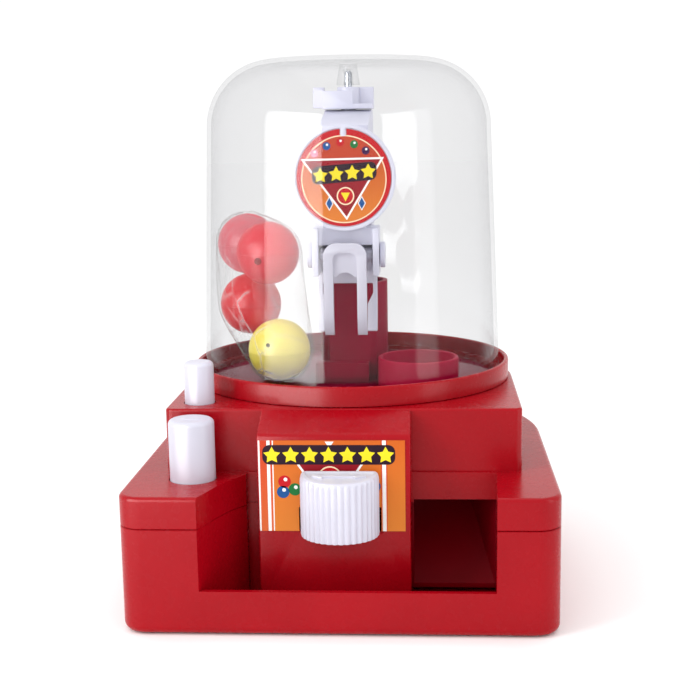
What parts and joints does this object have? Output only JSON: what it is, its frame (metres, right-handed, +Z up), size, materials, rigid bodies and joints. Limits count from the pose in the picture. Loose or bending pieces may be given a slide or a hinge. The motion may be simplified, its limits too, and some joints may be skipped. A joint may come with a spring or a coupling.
{
  "type": "toy claw crane machine",
  "caption": "Tabletop claw crane toy: D-shaped base with prize tray, slide knob and push buttons, turning claw crane and bagged capsules under a clear dome.",
  "frame": {"origin": "middle of the footprint, on the underside of the base", "axes": "+Z up, the front with the knob and the prize tray faces -Y, the prize opening is on the +X side; +Z is the longest direction"},
  "size_m": [0.16, 0.184, 0.2087],
  "materials": {
    "red_plastic": "glossy moulded",
    "dark_red_plastic": "glossy moulded",
    "white_plastic": "glossy moulded, faintly lavender",
    "grey_plastic": "matte moulded",
    "steel": "bright",
    "clear_plastic": "clear polystyrene",
    "bag_film": "thin clear film, wrinkled",
    "printed_label": "printed paper, glossy",
    "yellow_capsule": "glossy",
    "red_capsule": "glossy",
    "coral_capsule": "glossy",
    "pink_capsule": "glossy"
  },
  "bodies": {
    "base": {"base_tray": "red_plastic", "base_cover": "red_plastic", "control_panel": "red_plastic", "panel_label": "printed_label", "gear_frame": "grey_plastic", "rocker_bracket": "grey_plastic", "prize_chute": "dark_red_plastic", "deck": "dark_red_plastic", "chute_ring": "red_plastic", "dome_ring": "red_plastic", "column_sleeve": "dark_red_plastic", "drop_spring": "steel", "release_spring": "steel", "base_screw_1": "steel", "base_screw_2": "steel", "base_screw_3": "steel", "base_screw_4": "steel", "capsule_yellow_top": "yellow_capsule", "capsule_yellow_bottom": "yellow_capsule", "capsule_red_top": "red_capsule", "capsule_red_bottom": "red_capsule", "capsule_coral_top": "coral_capsule", "capsule_coral_bottom": "coral_capsule", "capsule_pink_top": "pink_capsule", "capsule_pink_bottom": "pink_capsule", "capsule_bag": "bag_film"},
    "slider": {"knob": "white_plastic", "knob_slider": "white_plastic"},
    "crane": {"crane_mast": "white_plastic", "pinion_gear": "white_plastic", "crane_hood": "white_plastic", "top_bracket": "white_plastic", "pivot_pin": "steel", "sign_disc": "white_plastic", "sign_label": "printed_label"},
    "drop_key": {"drop_button": "white_plastic"},
    "drop_arm": {"drop_lever": "grey_plastic"},
    "release_key": {"release_button": "white_plastic"},
    "rocker": {"release_rocker": "grey_plastic"},
    "release_slide": {"release_rod": "grey_plastic"},
    "crank": {"release_crank": "grey_plastic"},
    "claw": {"lift_rod": "grey_plastic", "lift_collar": "grey_plastic", "lift_arm": "grey_plastic", "claw_carriage": "white_plastic", "jaw_pin": "white_plastic", "rear_jaw": "white_plastic"},
    "jaw_push": {"jaw_rod": "steel"},
    "jaw": {"front_jaw": "white_plastic"},
    "cover": {"dome": "clear_plastic"}
  },
  "joints": [
    {"name": "knob_slide", "type": "slide", "parent": "base", "child": "slider", "axis": [-1, 0, 0], "range_m": [-0.011, 0.0009]},
    {"name": "crane_turn", "type": "hinge", "parent": "base", "child": "crane", "pos_m": [0, 0.012, 0.037], "axis": [0, 0, -1], "range_deg": [-60.5, 5.2]},
    {"name": "drop_press", "type": "slide", "parent": "base", "child": "drop_key", "axis": [0, 0, -1], "range_m": [0, 0.0019], "stiffness_N_per_m": 300, "springref_m": -0.005, "deforming": ["drop_spring"]},
    {"name": "drop_lever_tilt", "type": "hinge", "parent": "base", "child": "drop_arm", "pos_m": [-0.072, -0.036, 0.024], "axis": [0, 1, 0], "range_deg": [0, 6.9]},
    {"name": "claw_drop", "type": "slide", "parent": "crane", "child": "claw", "axis": [0, 0, -1], "range_m": [0, 0.0086]},
    {"name": "release_press", "type": "slide", "parent": "base", "child": "release_key", "axis": [0, 0, -1], "range_m": [0, 0.004], "stiffness_N_per_m": 250, "springref_m": -0.003, "deforming": ["release_spring"]},
    {"name": "rocker_tilt", "type": "hinge", "parent": "base", "child": "rocker", "pos_m": [-0.02825, -0.02, 0.05], "axis": [0, -1, 0], "range_deg": [0, 8.2]},
    {"name": "release_lift", "type": "slide", "parent": "crane", "child": "release_slide", "axis": [0, 0, 1], "range_m": [0, 0.004]},
    {"name": "crank_tilt", "type": "hinge", "parent": "crane", "child": "crank", "pos_m": [0, -0.0037, 0.176], "axis": [1, 0, 0], "range_deg": [0, 9.4]},
    {"name": "jaw_rod_push", "type": "slide", "parent": "claw", "child": "jaw_push", "axis": [0, 0, -1], "range_m": [0, 0.00102]},
    {"name": "jaw_open", "type": "hinge", "parent": "claw", "child": "jaw", "pos_m": [0, -0.015, 0.1303], "axis": [-1, 0, 0], "range_deg": [0, 15.3]},
    {"name": "dome_lift", "type": "slide", "parent": "base", "child": "cover", "axis": [0, 0, 1], "range_m": [0, 0.14]}
  ],
  "couplings": [
    {"joint": "crane_turn", "follows": "knob_slide", "rad_per_m": 95.238},
    {"joint": "drop_lever_tilt", "follows": "drop_press", "rad_per_m": 62.5},
    {"joint": "claw_drop", "follows": "drop_press", "ratio": 4.5},
    {"joint": "rocker_tilt", "follows": "release_press", "rad_per_m": 35.4},
    {"joint": "release_lift", "follows": "release_press", "ratio": 1},
    {"joint": "crank_tilt", "follows": "release_press", "rad_per_m": 40},
    {"joint": "jaw_rod_push", "follows": "release_press", "ratio": 0.25},
    {"joint": "jaw_open", "follows": "release_press", "rad_per_m": 66}
  ]
}
